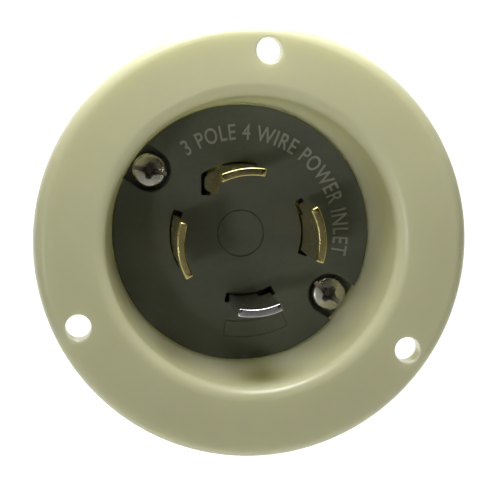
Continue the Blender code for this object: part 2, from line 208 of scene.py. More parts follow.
@dataclass(frozen=True)
class MilkyNylon:
    """Unpigmented nylon: cream and a little see-through, with painted light that makes it paler in the well
    than on the flange.
    """

    name: str
    pale: Colour = (0.79, 0.785, 0.54)
    warm: Colour = (0.68, 0.67, 0.42)
    # painted light: the paler, whiter colour that the well is painted towards, standing in for light
    # glowing through its walls
    inside: Colour = (0.90, 0.90, 0.76)
    roughness: float = 0.34

    def build(self) -> bpy.types.Material:
        """Cream by slow noise, with a painted highlight that pales the flange's outer edge by distance from
        the axis, painted light that pales the well, and a moulded grain.
        """
        sheet = Sheet(self.name)
        x, y, z = sheet.axes(sheet.place())
        radius = (x * x + z * z) ** 0.5
        cloud = sheet.noise(38.0, 4.0, 0.55)
        speck = sheet.noise(420.0, 3.0, 0.6)
        # painted highlight: the flange's rounded outer edge, from 37 to 41.4 mm out, is painted paler
        edge = sheet.band(radius, 37 * MM, 41.4 * MM)
        tone = (cloud * 0.8 - edge * 0.35 + speck * 0.1) * 0.9
        shade = sheet.mix(sheet.math("ADD", tone, 0.0, clamp=True), self.pale, self.warm)
        # painted light: behind the flange's back face, down the well, the colour is painted paler and
        # whiter
        depth = sheet.band(y, 0.0, 16 * MM)
        sheet.feed("Base Color", sheet.mix(depth * 0.8, shade, self.inside))
        sheet.feed("Roughness", self.roughness + (cloud - 0.5) * 0.12 + (speck - 0.5) * 0.06)
        sheet.feed("IOR", 1.53)
        sheet.feed("Subsurface Weight", 0.8)
        sheet.feed("Subsurface Radius", (1.0, 0.97, 0.80))
        sheet.feed("Subsurface Scale", 5.0 * MM)
        sheet.feed("Coat Weight", 0.18)
        sheet.feed("Coat Roughness", 0.12)
        sheet.bump(sheet.noise(900.0, 2.0, 0.5) + cloud * 3.0, 0.03 * MM, 0.6)
        return sheet.material


@dataclass(frozen=True)
class FilledNylon:
    """Pigmented, glass-filled nylon with a matt spark-eroded grain and pale flow streaks."""

    name: str
    base: Colour
    streak: Colour
    roughness: float = 0.5
    grain: float = 0.02 * MM

    def build(self) -> bpy.types.Material:
        """Colour by flow streaks and specks, grain as a fine bump."""
        sheet = Sheet(self.name)
        flow = sheet.noise(26.0, 5.0, 0.62, sheet.stretched((1.0, 0.35, 2.2), 0.4))
        speck = sheet.noise(1500.0, 2.0, 0.6)
        dust = sheet.band(sheet.noise(210.0, 6.0, 0.7), 0.55, 0.78)
        amount = sheet.band(flow, 0.35, 0.72) * 0.55 + (speck - 0.5) * 0.35 + dust * 0.25
        shade = sheet.mix(sheet.math("ADD", amount, 0.0, clamp=True), self.base, self.streak)
        sheet.feed("Base Color", shade)
        sheet.feed("Roughness", self.roughness + dust * 0.12 + (speck - 0.5) * 0.1)
        sheet.feed("IOR", 1.5)
        sheet.bump(sheet.noise(2400.0, 2.0, 0.55) + flow * 1.5, self.grain, 0.8)
        return sheet.material


GREY_NYLON = FilledNylon("grey_nylon", (0.118, 0.128, 0.098), (0.190, 0.206, 0.162), 0.46)
LETTER_NYLON = FilledNylon("letter_nylon", (0.40, 0.41, 0.355), (0.50, 0.51, 0.455), 0.42)
BLACK_NYLON = FilledNylon("black_nylon", (0.018, 0.018, 0.018), (0.05, 0.05, 0.048), 0.42)


class Metal(Enum):
    """The metals in the inlet: colour, tarnish colour, roughness."""

    BRASS = ((0.82, 0.70, 0.29), (0.56, 0.46, 0.19), 0.16)
    NICKEL = ((0.60, 0.57, 0.58), (0.38, 0.35, 0.36), 0.15)
    ZINC = ((0.66, 0.64, 0.57), (0.42, 0.40, 0.34), 0.24)
    GREEN = ((0.10, 0.40, 0.18), (0.05, 0.20, 0.09), 0.28)


@dataclass(frozen=True)
class WorkedMetal:
    """Stamped, rolled or turned metal: fine lines along one way, faint stains, small dents."""

    name: str
    metal: Metal
    lines: tuple[float, float, float] = (1.0, 0.06, 1.0)
    line_scale: float = 1800.0
    line_depth: float = 0.0022 * MM
    # painted shade with oily dirt: the dark colour that the deep parts of a drive recess are painted
    grime_and_shade: Colour = (0.035, 0.024, 0.018)

    def build(self) -> bpy.types.Material:
        """Tarnish by slow noise, lines by noise stretched along the work, and dark oily dirt with painted
        shade where a recess is deep.
        """
        clean, stained, rough = self.metal.value
        sheet = Sheet(self.name)
        stain = sheet.band(sheet.noise(160.0, 5.0, 0.62), 0.42, 0.74)
        line = sheet.noise(self.line_scale, 3.0, 0.6, sheet.stretched(self.lines))
        pit = sheet.band(sheet.noise(1300.0, 2.0, 0.5), 0.66, 0.78)
        deep = sheet.add("Attribute", {"attribute_name": RECESS_GRIME_AND_SHADE}, {}, "Fac")
        shade = sheet.mix(stain * 0.55 + pit * 0.3, clean, stained)
        # painted shade with oily dirt: the deeper a point lies in a drive recess, the darker and less
        # metallic it is painted
        sheet.feed("Base Color", sheet.mix(deep * 0.88, shade, self.grime_and_shade))
        sheet.feed("Metallic", 1.0 - deep * 0.6)
        sheet.feed("Roughness", rough + stain * 0.14 + (line - 0.5) * 0.12 + pit * 0.1 + deep * 0.18)
        sheet.bump(line + pit * -1.5 + stain * 0.6, self.line_depth, 0.9)
        return sheet.material


# ---------------------------------------------------------------- surfaces

def turn_points(points: Array, degrees: float) -> Array:
    """Turns points about the inlet's axis: x' = x cos - y sin, y' = x sin + y cos."""
    a = math.radians(degrees)
    turned = points.copy()
    turned[..., 0] = points[..., 0] * math.cos(a) - points[..., 1] * math.sin(a)
    turned[..., 1] = points[..., 0] * math.sin(a) + points[..., 1] * math.cos(a)
    return turned


def upright(points: Array) -> Array:
    """Front view to row frame: x stays, front view z becomes -Y and front view y becomes Z."""
    return np.stack([points[..., 0], -points[..., 2], points[..., 1]], axis=-1)


def arc(centre: tuple[float, float], radius: float, start: float, end: float, count: int) -> Array:
    """Points on an arc: the centre plus the radius times (cosine, sine) from start to end degrees."""
    a = np.radians(np.linspace(start, end, count))
    return np.stack([centre[0] + radius * np.cos(a), centre[1] + radius * np.sin(a)], axis=-1)


def circle(radius: float, count: int) -> Array:
    """A full circle about the origin, its first point not repeated."""
    return arc((0.0, 0.0), radius, 0.0, 360.0, count + 1)[:-1]


def sector(inner: float, outer: float, first: float, last: float, count: int) -> Array:
    """A piece of a ring between two radii and two angles."""
    return np.concatenate([arc((0, 0), outer, first, last, count), arc((0, 0), inner, last, first, count)])


def oblong(u: tuple[float, float], v: tuple[float, float]) -> Array:
    """A rectangle at the top of the front view: u runs anticlockwise, so to the left, and v outwards."""
    return np.array([[-u[1], v[0]], [-u[0], v[0]], [-u[0], v[1]], [-u[1], v[1]]])


def polar(radius: float, degrees: float, height: float = 0.0) -> Array:
    """The point (r cos a, r sin a, height)."""
    a = math.radians(degrees)
    return np.array([radius * math.cos(a), radius * math.sin(a), height])


def quarter(count: int, start: float = 0.0, end: float = 90.0) -> tuple[Array, Array]:
    """Cosines and sines over a quarter turn, or over the part of it from start to end degrees."""
    t = np.radians(np.linspace(start, end, count))
    return np.cos(t), np.sin(t)


def widened(outline: Array, by: float) -> Array:
    """Moves a closed anticlockwise outline outwards by the mitre rule.

    Each point moves by (n1 + n2) / (1 + n1.n2) times the distance, where n1 and n2 are the outward
    normals of the two edges that meet there.
    """
    edge = np.roll(outline, -1, axis=0) - outline
    edge /= np.linalg.norm(edge, axis=1, keepdims=True)
    after = np.stack([edge[:, 1], -edge[:, 0]], axis=-1)
    before = np.roll(after, 1, axis=0)
    share = 1.0 + np.sum(before * after, axis=1, keepdims=True)
    return outline + by * (before + after) / share


def softened(outline: Array, cut: float, count: int = 4, sharpest: float = 35.0) -> Array:
    """Rounds the corners of a closed outline that turn by more than `sharpest` degrees.

    A corner P becomes the quadratic curve (1-t)^2 A + 2t(1-t) P + t^2 B, where A and B lie `cut`
    before and after it.
    """
    edge = np.roll(outline, -1, axis=0) - outline
    length = np.linalg.norm(edge, axis=1, keepdims=True)
    after = edge / length
    before = np.roll(after, 1, axis=0)
    corner = np.sum(before * after, axis=1) < math.cos(math.radians(sharpest))
    t = np.linspace(0.0, 1.0, count)[None, :, None]
    start = (outline - before * cut)[:, None]
    end = (outline + after * cut)[:, None]
    curve = (1 - t) ** 2 * start + 2 * t * (1 - t) * outline[:, None] + t ** 2 * end
    curve[~corner, 0] = outline[~corner]
    keep = np.ones(curve.shape[:2], bool)
    keep[~corner, 1:] = False
    return curve[keep]


def stacked(outline: Array, levels: Profile) -> Array:
    """Rings of one outline: at each level (widening, height) the outline is widened and lifted."""
    rings = [
        np.column_stack([widened(outline, wide), np.full(len(outline), height)])
        for wide, height in levels
    ]
    return np.stack(rings)


def spun(profile: Profile, count: int) -> Array:
    """Rings of a solid of revolution: (r cos t, r sin t, h) for each profile point (r, h)."""
    r, h = np.asarray(profile, float).T
    t = np.linspace(0.0, 2 * np.pi, count, endpoint=False)
    shape = (len(r), count)
    return np.stack(
        [np.outer(r, np.cos(t)), np.outer(r, np.sin(t)), np.broadcast_to(h[:, None], shape)], axis=-1
    )


def threaded(radius: float, depth: float, pitch: float, low: float, high: float, count: int = 24) -> Array:
    """Rings of a threaded rod, bottom up.

    Its radius at turn t and height z is the outside radius less the depth times a triangle wave of
    (z / pitch - t / full turn), and it fades in over the first and last pitch.
    """
    rows = int(round((high - low) / pitch * 8)) + 1
    z = np.linspace(low, high, rows)[:, None]
    t = np.linspace(0.0, 2 * np.pi, count, endpoint=False)[None, :]
    phase = z / pitch - t / (2 * np.pi)
    wave = np.abs((phase % 1.0) * 2 - 1)
    fade = np.clip(np.minimum(z - low, high - z) / pitch, 0.0, 1.0)
    r = radius - depth * (1 - fade + fade * np.clip(wave * 1.25 - 0.12, 0, 1))
    return np.stack([r * np.cos(t), r * np.sin(t), np.broadcast_to(z, r.shape)], axis=-1)


def mesh_of(name: str, rings: Array, wrap: bool = False, strip: bool = False) -> bpy.types.Object:
    """Skins rings of points with quads and closes the two ends, or joins them up if wrapped.

    Args:
        name: the object's name.
        rings: an array of rings by points by 3.
        wrap: the last ring joins the first.
        strip: the ends are closed by quads across the ring, for a ring that runs out along one side of
            a strip and back along the other.

    Returns:
        The new object.
    """
    k, n, _ = rings.shape
    index = np.arange(k * n).reshape(k, n)
    lower = index if wrap else index[:-1]
    upper = np.roll(index, -1, axis=0) if wrap else index[1:]
    quads = np.stack(
        [lower, np.roll(lower, -1, axis=1), np.roll(upper, -1, axis=1), upper], axis=-1
    ).reshape(-1, 4)
    faces = quads.tolist()
    if strip:
        i = np.arange(n // 2 - 1)
        across = np.stack([i, i + 1, n - 2 - i, n - 1 - i], axis=-1)
        faces += index[0][across][:, ::-1].tolist() + index[-1][across].tolist()
    elif not wrap:
        faces += [index[0][::-1].tolist(), index[-1].tolist()]
    mesh = bpy.data.meshes.new(name)
    mesh.from_pydata(rings.reshape(-1, 3), [], faces)
    obj = bpy.data.objects.new(name, mesh)
    bpy.context.scene.collection.objects.link(obj)
    tidy_mesh(mesh)
    return obj


def tidy_mesh(mesh: bpy.types.Mesh) -> None:
    """Merges points that coincide and turns every face outwards."""
    shape = bmesh.new()
    shape.from_mesh(mesh)
    bmesh.ops.remove_doubles(shape, verts=shape.verts, dist=0.000001)
    bmesh.ops.recalc_face_normals(shape, faces=shape.faces)
    shape.to_mesh(mesh)
    shape.free()


def moved(obj: bpy.types.Object, shape: Callable[[Array], Array]) -> bpy.types.Object:
    """Replaces an object's points by what `shape` makes of them as one array."""
    mesh = obj.data
    points = np.empty(len(mesh.vertices) * 3)
    mesh.vertices.foreach_get("co", points)
    mesh.vertices.foreach_set("co", shape(points.reshape(-1, 3)).ravel())
    mesh.update()
    return obj


def shifted(obj: bpy.types.Object, away: Array) -> bpy.types.Object:
    """Moves an object's points by one vector."""
    return moved(obj, lambda points: points + away)


def bore(radius: float, low: float, high: float, place: Array) -> bpy.types.Object:
    """A round cutter between two heights, at `place`."""
    return shifted(mesh_of("bore", stacked(circle(radius, 32), [(0, low), (0, high)])), place)


def carved(base: bpy.types.Object, tools: Iterable[bpy.types.Object],
           operation: str = "DIFFERENCE") -> bpy.types.Object:
    """Cuts the tools out of a solid, joins them to it or keeps what they share, and removes the tools.

    Args:
        base: the solid.
        tools: closed solids.
        operation: DIFFERENCE, UNION or INTERSECT.

    Returns:
        The same object with its new mesh.
    """
    tools = list(tools)
    for tool in tools:
        modifier = base.modifiers.new(tool.name, "BOOLEAN")
        modifier.operation = operation
        modifier.solver = "EXACT"
        modifier.object = tool
    graph = bpy.context.evaluated_depsgraph_get()
    mesh = bpy.data.meshes.new_from_object(base.evaluated_get(graph))
    base.modifiers.clear()
    base.data = mesh
    for tool in tools:
        bpy.data.objects.remove(tool, do_unlink=True)
    return base


def joined(name: str, parts: Sequence[bpy.types.Object]) -> bpy.types.Object:
    """Puts separate solids in one object."""
    shape = bmesh.new()
    for part in parts:
        shape.from_mesh(part.data)
    mesh = bpy.data.meshes.new(name)
    shape.to_mesh(mesh)
    shape.free()
    obj = bpy.data.objects.new(name, mesh)
    bpy.context.scene.collection.objects.link(obj)
    for part in parts:
        bpy.data.objects.remove(part, do_unlink=True)
    return obj


def as_piece(obj: bpy.types.Object, name: str, finish: bpy.types.Material, body: str,
             nodes: Sequence[str], sharp: float = 32.0) -> bpy.types.Object:
    """Makes an object in the front view a finished piece of the inlet.

    Args:
        obj: the shape, in front view coordinates.
        name: the piece's name.
        finish: its material.
        body: the moving body it rides on.
        nodes: the CAD nodes it stands for.
        sharp: edges that fold by more than this many degrees stay crisp.

    Returns:
        The piece.
    """
    moved(obj, upright)
    obj.name = name
    obj.data.name = name
    obj.data.materials.clear()
    obj.data.materials.append(finish)
    obj.data.shade_smooth()
    obj.data.set_sharp_from_angle(angle=math.radians(sharp))
    weighted = obj.modifiers.new("even_shading", "WEIGHTED_NORMAL")
    weighted.keep_sharp = True
    weighted.weight = 100
    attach(obj, body)
    if nodes:
        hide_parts(*nodes)
    LOG.info("%s rides on %s, %d faces", name, body, len(obj.data.polygons))
    return obj


def radial(points: Array, angle: float, z: float, u: float, v: float) -> Array:
    """Lays points drawn about a vertical z axis along a spoke.

    The drawing's z becomes distance out from the axis, counted from v; its x runs anticlockwise from
    u; its y runs along the inlet's axis from height z. Then everything turns to the spoke's angle.
    """
    laid = np.stack([-(points[..., 0] + u), points[..., 2] + v, points[..., 1] + z], axis=-1)
    return turn_points(laid, angle - 90.0)


# ---------------------------------------------------------------- sub-assemblies

@dataclass
class Stack:
    """Heights and radii of the inlet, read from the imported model. Heights are in the front view."""

    flange_r: float = 0.0
    flange_front: float = 0.0
    floor_back: float = 0.0
    face: float = 0.0
    insert_back: float = 0.0
    disc_r: float = 0.0
    blade_tip: float = 0.0
    block: tuple[float, float] = (0.0, 0.0)
    cover: tuple[float, float] = (0.0, 0.0)
    body_r: float = 0.0
    nut: tuple[float, float] = (0.0, 0.0)

    @classmethod
    def from_frame(cls) -> "Stack":
        """Measures the CAD nodes."""
        def span(node: str) -> tuple[float, float, float]:
            """A node's back and front in the front view, and half its width."""
            low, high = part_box(node)
            return -high.y, -low.y, (high.x - low.x) / 2
        housing, insert = span("flange_housing"), span("blade_insert")
        blade, block, cover = span("hot_x_blade"), span("terminal_block"), span("rear_cover")
        return cls(housing[2], housing[1], housing[0], insert[1], insert[0], insert[2] - 0.1 * MM,
                   blade[1], block[:2], cover[:2], cover[2],
                   span("assembly_nut_upper")[:2])


@dataclass
class FlangeHousing:
    """The translucent flange with its well."""

    stack: Stack
    finish: bpy.types.Material
    edge_r: float = 2.4 * MM
    mouth_r: float = 27.9 * MM
    lip_r: float = 2.6 * MM
    well_r: float = 26.55 * MM
    skirt_r: float = 29.6 * MM
    skirt_end_r: float = 29.2 * MM
    floor_t: float = 3.0 * MM
    opening_r: float = 17.6 * MM
    hole_circle_r: float = 36.6 * MM
    hole_r: float = 2.45 * MM
    hole_angles: tuple[float, ...] = (90.0, 210.0, 330.0)
    steps: int = 240

    def profile(self) -> list[tuple[float, float]]:
        """The wall's section, anticlockwise from the top of the flange's outer edge."""
        s, top = self.stack, self.stack.flange_front
        fillet = 0.6 * MM
        outer = arc((s.flange_r - self.edge_r, top - self.edge_r), self.edge_r, 90, 0, 12)
        back_edge = arc((s.flange_r - fillet, fillet), fillet, 0, -90, 5)
        root = arc((self.skirt_r + fillet, -fillet), fillet, 90, 180, 5)
        foot = arc((self.skirt_end_r - fillet, s.floor_back + fillet), fillet, 0, -90, 5)
        floor = s.floor_back + self.floor_t
        corner = arc((self.well_r - fillet, floor + fillet), fillet, 270, 360, 5)
        lip = arc((self.mouth_r + self.lip_r, top - self.lip_r), self.lip_r, 180, 90, 14)
        crease = [(self.mouth_r - 0.05 * MM, top - self.lip_r - 0.25 * MM)]
        middle = [(self.opening_r, s.floor_back), (self.opening_r, floor)]
        parts = [outer, back_edge, root, foot, middle, corner, crease, lip]
        return [tuple(point) for part in parts for point in part]

    def hole(self, angle: float) -> bpy.types.Object:
        """A mounting hole's cutter, flared by a quarter circle at both faces."""
        flare = 0.35 * MM
        cosine, sine = quarter(5)
        rise, wide = flare * sine, flare * (1 - cosine)
        top, bottom = self.stack.flange_front, 0.0
        levels = [(wide[-1] + MM, bottom - MM), *zip(wide[::-1], bottom + flare - rise[::-1])]
        levels += [*zip(wide, top - flare + rise), (wide[-1] + MM, top + MM)]
        rings = stacked(circle(self.hole_r, 40), levels)
        return mesh_of("hole", rings + polar(self.hole_circle_r, angle))

    def build(self) -> None:
        """Spins the section and cuts the holes."""
        body = mesh_of("housing", spun(self.profile(), self.steps), wrap=True)
        low, high = self.stack.floor_back - MM, self.stack.floor_back + self.floor_t + MM
        tools = [self.hole(angle) for angle in self.hole_angles]
        tools += [bore(SCREW_HOLE_R, low, high, polar(SCREW_CIRCLE_R, angle)) for angle in SCREW_ANGLES]
        as_piece(carved(body, tools), "housing_shell", self.finish, MAIN_BODY, ["flange_housing"])


@dataclass(frozen=True)
class BladePlan:
    """One blade's place: spoke angle, and arc limits in degrees anticlockwise of the spoke."""

    name: str
    angle: float
    start: float
    root: float
    tip: float
    slot_before: float
    slot_after: float
    leg: bool = False


WIDE = {"start": -17.9, "root": 16.6, "tip": 27.8, "slot_before": 3.2, "slot_after": 0.6}
NARROW = {"start": -12.5, "root": 13.5, "tip": 23.9, "slot_before": 2.0, "slot_after": 4.6}
PLANS = (
    BladePlan("ground", 96.0, **NARROW, leg=True),
    BladePlan("hot_x", 186.0, **WIDE),
    BladePlan("neutral", 276.0, **NARROW),
    BladePlan("hot_y", 6.0, **WIDE),
)


@dataclass
class BladeInsert:
    """The grey disc at the bottom of the well."""

    stack: Stack
    finish: bpy.types.Material
    letter_finish: bpy.types.Material
    rim_extra: float = -0.2 * MM
    key_extra: float = 0.12 * MM
    key_span: tuple[float, float] = (-18.0, 39.0)
    disc_t: float = 5.7 * MM
    boss_r: float = 17.3 * MM
    blade_r: float = 13.6 * MM
    blade_t: float = 1.6 * MM
    clearance: float = 0.2 * MM
    notch_r: float = 4.3 * MM
    round_r: float = 0.45 * MM
    ring_r: float = 4.75 * MM
    ring_line: tuple[float, float] = (0.34 * MM, 0.22 * MM)
    patch_r: tuple[float, float] = (18.3 * MM, 21.6 * MM)
    patch_span: tuple[float, float] = (-95.0, -58.0)
    patch_line: tuple[float, float] = (0.24 * MM, 0.16 * MM)
    words: str = "3 POLE 4 WIRE POWER INLET"
    words_r: float = 20.9 * MM
    words_start: float = 129.0
    words_end: float = -8.0
    letter_h: float = 3.3 * MM

    def disc(self) -> bpy.types.Object:
        """The disc, a little wider over its keyed stretch, with a rounded front edge."""
        r = self.stack.disc_r + self.rim_extra
        keyed = arc((0, 0), r + self.key_extra, *self.key_span, 60)
        plain = arc((0, 0), r, self.key_span[1] + 0.6, self.key_span[0] + 359.4, 260)
        outline = np.concatenate([keyed, plain])
        cosine, sine = quarter(8)
        top, ease = self.stack.face, self.round_r
        levels = [(0.0, top - self.disc_t), *zip(ease * (cosine - 1), top - ease + ease * sine)]
        return mesh_of("disc", stacked(outline, levels))

    def flared(self, outline: Array, low: float, flare: float) -> bpy.types.Object:
        """A cutter down from the face to `low` that leaves its edge rounded by `flare`."""
        cosine, sine = quarter(5)
        top = self.stack.face
        levels = [(0.0, low), *zip(flare * (1 - cosine), top - flare + flare * sine), (flare, top + MM)]
        return mesh_of("cutter", stacked(outline, levels))

    def slot(self, plan: BladePlan) -> bpy.types.Object:
        """The cutter of one blade slot."""
        inner = self.blade_r - self.blade_t / 2 - self.clearance * 0.8
        outer = self.blade_r + self.blade_t / 2 + self.clearance
        first, last = 90 + plan.start - plan.slot_before, 90 + plan.tip + plan.slot_after
        outline = sector(inner, outer, first, last, 28)
        if plan.leg:
            foot = 8.0 * MM
            wide = self.blade_t / 2 + self.clearance
            leg_u = 6.85 * MM
            far, near = -(leg_u + wide), -(leg_u - wide)
            outer_meet = math.degrees(math.acos(far / outer))
            inner_meet = math.degrees(math.acos(near / inner))
            outline = np.concatenate([
                arc((0, 0), outer, first, outer_meet, 28),
                [[far, foot], [near, foot]],
                arc((0, 0), inner, inner_meet, first, 20),
            ])
        outline = softened(outline, 0.3 * MM, 4)
        return mesh_turned(self.flared(outline, self.stack.insert_back - MM, 0.16 * MM), plan.angle - 90)

    def notch(self, angle: float) -> bpy.types.Object:
        """The cutter of one screw notch: round towards the axis and open to the rim."""
        reach = self.stack.disc_r + 3 * MM - SCREW_CIRCLE_R
        bowl = arc((0, 0), self.notch_r, 180, 360, 36)
        outline = np.concatenate([bowl, [[self.notch_r, reach], [-self.notch_r, reach]]])
        outline += np.array([0.0, SCREW_CIRCLE_R])
        cutter = self.flared(outline, self.stack.face - SCREW_NOTCH_DEPTH, self.round_r)
        return mesh_turned(cutter, angle)

    def hole(self, angle: float) -> bpy.types.Object:
        """The cutter of one assembly screw's hole."""
        low, high = self.stack.face - self.disc_t - MM, self.stack.face - 2 * MM
        return mesh_turned(bore(SCREW_HOLE_R, low, high, polar(SCREW_CIRCLE_R, 90.0)), angle)

    def groove(self, outline: Array, width: float, depth: float) -> bpy.types.Object:
        """The cutter of a shallow line along a closed outline on the face."""
        top, half = self.stack.face, width / 2
        over = top + 0.2 * MM
        levels = [(half, over), (half, top), (0.0, top - depth), (-half, top), (-half, over)]
        return mesh_of("cutter", stacked(outline, levels), wrap=True)

    def lettering(self) -> bpy.types.Object:
        """Raised letters bent along an arc: x runs clockwise round the axis, y runs outwards."""
        curve = bpy.data.curves.new("words", "FONT")
        curve.body = self.words
        curve.size = self.letter_h / 0.72
        curve.space_character = 1.12
        curve.resolution_u = 4
        curve.extrude = 0.16 * MM
        curve.bevel_depth = 0.05 * MM
        curve.bevel_resolution = 1
        drawn = bpy.data.objects.new("words", curve)
        bpy.context.scene.collection.objects.link(drawn)
        graph = bpy.context.evaluated_depsgraph_get()
        mesh = bpy.data.meshes.new_from_object(drawn.evaluated_get(graph))
        bpy.data.objects.remove(drawn)
        obj = bpy.data.objects.new("words", mesh)
        bpy.context.scene.collection.objects.link(obj)

        def bent(points: Array) -> Array:
            """Maps x to an angle between the two ends and y to a radius."""
            x, y, z = points.T
            share = (x - x.min()) / (x.max() - x.min())
            a = np.radians(self.words_start + (self.words_end - self.words_start) * share)
            r = self.words_r + y - self.letter_h / 2
            return np.stack([r * np.cos(a), r * np.sin(a), self.stack.face + z], axis=-1)

        return moved(obj, bent)

    def build(self) -> None:
        """Makes the disc with its boss, slots, notches, witness lines and letters."""
        body = self.disc()
        low, high = self.stack.insert_back, self.stack.face - self.disc_t + MM
        ease = 0.4 * MM
        boss = stacked(circle(self.boss_r, 160), [(-ease, low), (0, low + ease), (0, high)])
        body = carved(body, [mesh_of("boss", boss)], "UNION")
        tools = [self.slot(plan) for plan in PLANS]
        for angle in SCREW_ANGLES:
            tools += [self.notch(angle - 90), self.hole(angle - 90)]
        tools.append(self.groove(circle(self.ring_r, 96), *self.ring_line))
        patch = sector(*self.patch_r, *self.patch_span, 18)
        tools.append(self.groove(softened(patch, 0.4 * MM), *self.patch_line))
        body = carved(body, tools)
        as_piece(body, "insert_disc", self.finish, MAIN_BODY, ["blade_insert"], 28.0)
        as_piece(self.lettering(), "insert_letters", self.letter_finish, MAIN_BODY, [], 28.0)


def mesh_turned(obj: bpy.types.Object, degrees: float) -> bpy.types.Object:
    """Turns a shape drawn at the top of the front view by that many degrees anticlockwise.

    Shapes drawn about their spoke at 90 degrees take the spoke's angle less 90.
    """
    return moved(obj, lambda points: turn_points(points, degrees))


@dataclass
class Blade:
    """One formed blade with its locking notch, step and terminal pad."""

    stack: Stack
    plan: BladePlan
    finish: bpy.types.Material
    slot_name: str
    radius: float = 13.6 * MM
    thickness: float = 1.6 * MM
    leg_u: float = 6.85 * MM
    leg_end_v: float = 9.5 * MM
    bend_r: float = 1.1 * MM
    leg_step_u: float = 5.4 * MM
    leg_drop: float = 2.6 * MM
    notch_h: float = 6.0 * MM
    nose_r: float = 0.34 * MM
    pad_v: float = 19.8 * MM
    pad_half_w: float = 6.0 * MM
    pad_end: float = -45.0 * MM
    step_half_w: float = 6.0 * MM
    step_inner_v: float = 11.5 * MM

    def middle(self) -> tuple[Array, Array]:
        """The strip's middle line and the direction across it, seen end on with the spoke up."""
        end = self.plan.tip
        if self.plan.leg:
            end = math.degrees(math.asin((self.leg_u - self.bend_r) / (self.radius - self.bend_r)))
        a = np.radians(np.linspace(90 + self.plan.start, 90 + end, 20))
        across = np.stack([np.cos(a), np.sin(a)], axis=-1)
        line = self.radius * across
        if self.plan.leg:
            centre = (self.radius - self.bend_r) * across[-1]
            b = np.radians(np.linspace(90 + end, 180, 12))[1:]
            bend_across = np.stack([np.cos(b), np.sin(b)], axis=-1)
            foot = np.array([[-self.leg_u, self.leg_end_v]])
            line = np.concatenate([line, centre + self.bend_r * bend_across, foot])
            across = np.concatenate([across, bend_across, [[-1.0, 0.0]]])
        return line, across

    def strip(self) -> bpy.types.Object:
        """The blade itself, rounded over all round its tip and thinner towards its two ends."""
        line, across = self.middle()
        line, across, share = self.eased(line, across)
        half = self.thickness / 2 * share[:, None]
        outline = np.concatenate([line + half * across, (line - half * across)[::-1]])
        tip, low = self.stack.blade_tip, self.stack.block[1] - self.thickness + 0.4 * MM
        cosine, sine = quarter(7, 0.0, 78.0)
        levels = [(0.0, low)]
        levels += [*zip(self.nose_r * (cosine - 1), tip + self.nose_r * (sine / sine[-1] - 1))]
        return mesh_of("strip", stacked(outline, levels), strip=True)

    def eased(self, line: Array, across: Array) -> tuple[Array, Array, Array]:
        """Adds points near both ends and a share of the thickness at each, so that the ends are rounded.

        From each end inwards, the share rises from two thirds to one over 0.3 mm, steeply at first.
        """
        steps = np.array([0.0, 0.06, 0.14, 0.30])[:, None] * MM
        shares = np.array([0.66, 0.84, 0.95, 1.0])
        head = line[0] + steps * (line[1] - line[0]) / np.linalg.norm(line[1] - line[0])
        tail = line[-1] + steps[::-1] * (line[-2] - line[-1]) / np.linalg.norm(line[-2] - line[-1])
        points = np.concatenate([head, line[1:-1], tail])
        sides = np.concatenate([np.repeat(across[:1], 4, 0), across[1:-1], np.repeat(across[-1:], 4, 0)])
        share = np.concatenate([shares, np.ones(len(line) - 2), shares[::-1]])
        return points, sides, share

    def lock_notch(self) -> bpy.types.Object:
        """The cutter of the locking notch at the blade's anticlockwise end."""
        face = self.stack.face
        inner, outer = 5 * MM, self.radius + 3 * MM
        first, last = 90 + self.plan.root, 90 + self.plan.root + 42
        outline = sector(inner, outer, first, last, 20)
        ease = 0.45 * MM
        top = face + self.notch_h
        levels = [
            (0.0, self.stack.block[1] - 3 * MM), (0.0, top - ease), (-ease * 0.3, top - ease * 0.3),
            (-ease, top),
        ]
        return mesh_of("cutter", stacked(outline, levels))

    def leg_step(self) -> bpy.types.Object:
        """The cutter that leaves the bend and the leg lower than the rest of the tip."""
        far, low = self.leg_u + self.thickness, self.stack.blade_tip - self.leg_drop
        outline = oblong((self.leg_step_u, far), (self.leg_end_v - MM, self.radius + self.thickness))
        return mesh_of("cutter", stacked(outline, [(0, low), (0, self.stack.blade_tip + MM)]))

    def plate(self, u: tuple[float, float], v: tuple[float, float], z: tuple[float, float],
              flat: str) -> bpy.types.Object:
        """A flat plate with rounded corners, lying across the axis (`flat` is z) or along it (v)."""
        lies = flat == "z"
        side, (low, high) = (v, z) if lies else (z, v)
        ease = 0.12 * MM
        levels = [(-ease, low), (0, low + ease), (0, high - ease), (-ease, high)]
        outline = softened(oblong(u, side), *((0.6 * MM, 5) if lies else (0.8 * MM, 6)))
        rings = stacked(outline, levels)
        return mesh_of("plate", rings if lies else rings[..., [0, 2, 1]])

    def build(self) -> None:
        """Joins strip, step and pad, and cuts the notch and the screw hole."""
        half = self.thickness / 2
        top = self.stack.block[1]
        tools = [self.lock_notch()]
        if self.plan.leg:
            tools.append(self.leg_step())
        strip = carved(self.strip(), tools)
        step = self.plate((-self.step_half_w, self.step_half_w), (self.step_inner_v, self.pad_v + half),
                          (top - self.thickness, top), "z")
        pad = self.plate((-self.pad_half_w, self.pad_half_w), (self.pad_v - half, self.pad_v + half),
                         (self.pad_end, top - 0.4 * MM), "v")
        body = carved(strip, [step, pad], "UNION")
        hole = bore(SCREW_HOLE_R, -2 * MM, 2 * MM, np.zeros(3))
        moved(hole, lambda points: radial(points, 90.0, TERMINAL_SCREW_Z, TERMINAL_SCREW_U, self.pad_v))
        body = mesh_turned(carved(body, [hole]), self.plan.angle - 90)
        node = f"{self.plan.name}_blade"
        as_piece(body, f"{self.plan.name}_contact", self.finish, MAIN_BODY, [node], 24.0)


class Drive(Enum):
    """How a screw's head is driven."""

    SLOT = "slot"
    SLOT_AND_CROSS = "slot and cross"


